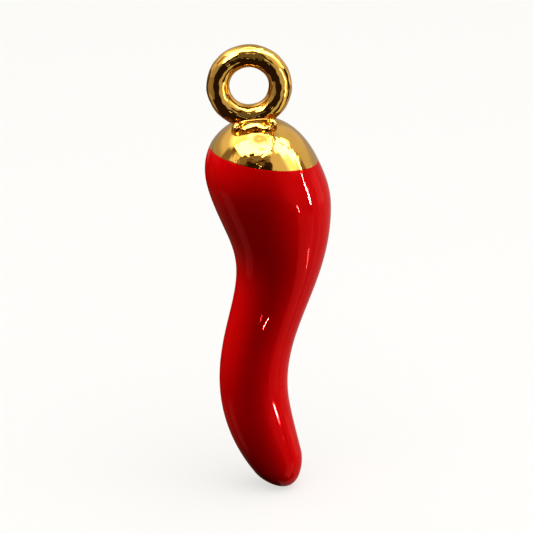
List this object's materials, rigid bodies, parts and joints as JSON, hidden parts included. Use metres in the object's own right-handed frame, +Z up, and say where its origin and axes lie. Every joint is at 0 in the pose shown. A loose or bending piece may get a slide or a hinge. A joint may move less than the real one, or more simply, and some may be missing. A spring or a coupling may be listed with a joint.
{
  "type": "cornicello horn pendant",
  "caption": "Curved red glazed horn with a domed gold cap, and a thick gold hanging ring on a small cushion-shaped collar.",
  "frame": {"origin": "middle of the hanging ring's eye, where the pendant hangs", "axes": "+Z up, +X to the right in the front view, +Y through the ring's eye, away from the front"},
  "size_m": [0.0137, 0.0132, 0.0513],
  "materials": {
    "red_glaze": "high gloss",
    "gold": "polished gold plate, slightly uneven"
  },
  "bodies": {
    "root": {"horn": "red_glaze", "cap": "gold", "ring": "gold"}
  },
  "joints": []
}
